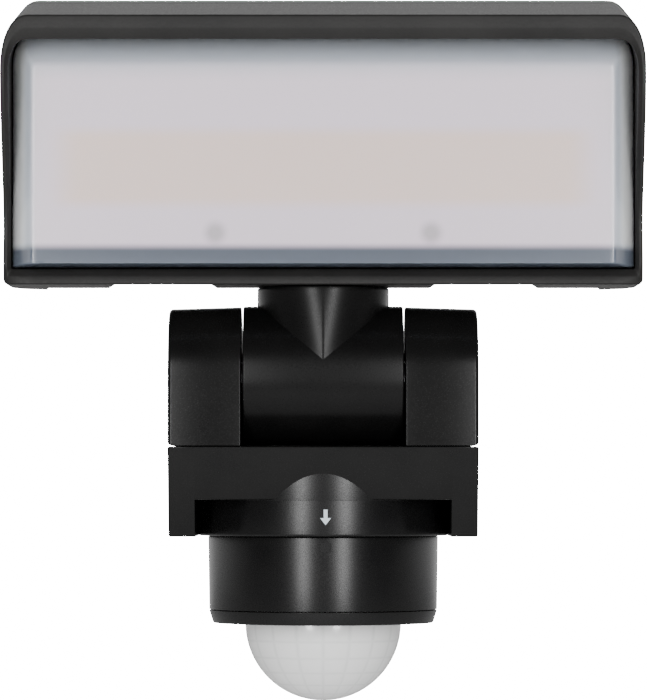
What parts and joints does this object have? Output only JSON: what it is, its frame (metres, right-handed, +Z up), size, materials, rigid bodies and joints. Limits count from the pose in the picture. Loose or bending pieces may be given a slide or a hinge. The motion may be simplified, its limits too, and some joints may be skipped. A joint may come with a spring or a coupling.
{
  "type": "floodlight",
  "caption": "Wall floodlight: a wide visored LED head tilts and turns on a yoke, above a motion sensor with a domed lens that turns under the base.",
  "frame": {"origin": "centre of the wall plate's rear face", "axes": "+Z up, +Y into the wall, so the front faces -Y; +X to the right seen from the front"},
  "size_m": [0.1816, 0.0914, 0.2041],
  "materials": {
    "black_plastic": "fine matt mould texture, moulded ABS",
    "dark_plastic": "satin moulded ABS",
    "white_nylon": "plain moulded nylon",
    "rubber": "matt",
    "plated_steel": "bright zinc plated",
    "zinc_plate": "galvanised sheet",
    "aluminium": "rolled sheet",
    "circuit_board": "green solder resist",
    "capacitor_sleeve": "shrink sleeve",
    "led_phosphor": "phosphor in silicone",
    "opal_plastic": "frosted translucent polycarbonate",
    "milky_dome": "milky polyethylene lens",
    "clear_lens": "clear epoxy"
  },
  "bodies": {
    "base": {"wall_plate": "zinc_plate", "wall_seal": "rubber", "cable_grommet": "rubber", "base_housing": "black_plastic", "chin_cover": "black_plastic", "chin_screw_left": "plated_steel", "chin_screw_right": "plated_steel", "terminal_block": "white_nylon", "control_board": "circuit_board", "relay": "dark_plastic", "capacitor": "capacitor_sleeve", "sensor_collar": "dark_plastic", "tilt_bolt": "plated_steel", "tilt_nut": "plated_steel", "bolt_cap_left": "black_plastic", "bolt_cap_right": "black_plastic"},
    "knuckle": {"tilt_knuckle": "black_plastic", "neck_seal": "rubber", "neck_retainer": "white_nylon", "friction_washer_left": "white_nylon", "friction_washer_right": "white_nylon"},
    "head": {"hood_shell": "black_plastic", "back_cover": "black_plastic", "back_screw_lower_left": "plated_steel", "back_screw_lower_right": "plated_steel", "back_screw_upper_left": "plated_steel", "back_screw_upper_right": "plated_steel", "diffuser": "opal_plastic", "diffuser_gasket": "rubber", "heat_spreader": "aluminium", "led_board": "circuit_board", "led_strip_upper": "led_phosphor", "led_strip_lower": "led_phosphor", "diffuser_post_left": "white_nylon", "diffuser_post_right": "white_nylon", "driver_board": "circuit_board", "driver_choke": "dark_plastic", "driver_capacitor": "capacitor_sleeve"},
    "sensor": {"sensor_cup": "dark_plastic", "sensor_ring": "dark_plastic", "sensor_clip": "white_nylon", "dome_lens": "milky_dome", "sensor_board": "circuit_board", "pir_element": "plated_steel", "light_sensor": "clear_lens"},
    "time_dial": {"time_knob": "white_nylon"},
    "light_dial": {"light_knob": "white_nylon"},
    "range_dial": {"range_knob": "white_nylon"}
  },
  "joints": [
    {"name": "lamp_tilt", "type": "hinge", "parent": "base", "child": "knuckle", "pos_m": [0, -0.0564, 0.014], "axis": [1, 0, 0], "range_deg": [-15, 90]},
    {"name": "lamp_pan", "type": "hinge", "parent": "knuckle", "child": "head", "pos_m": [0, -0.05705, 0.0393], "axis": [0, 0, 1], "range_deg": [-90, 90]},
    {"name": "sensor_pan", "type": "hinge", "parent": "base", "child": "sensor", "pos_m": [0, -0.0366, -0.0327], "axis": [0, 0, 1], "range_deg": [-90, 90]},
    {"name": "time_turn", "type": "hinge", "parent": "sensor", "child": "time_dial", "pos_m": [0.01681, -0.01509, -0.0584], "axis": [0, 0, -1], "range_deg": [-135, 135]},
    {"name": "light_turn", "type": "hinge", "parent": "sensor", "child": "light_dial", "pos_m": [0, -0.0093, -0.0584], "axis": [0, 0, -1], "range_deg": [-135, 135]},
    {"name": "range_turn", "type": "hinge", "parent": "sensor", "child": "range_dial", "pos_m": [-0.01681, -0.01509, -0.0584], "axis": [0, 0, -1], "range_deg": [-135, 135]}
  ]
}
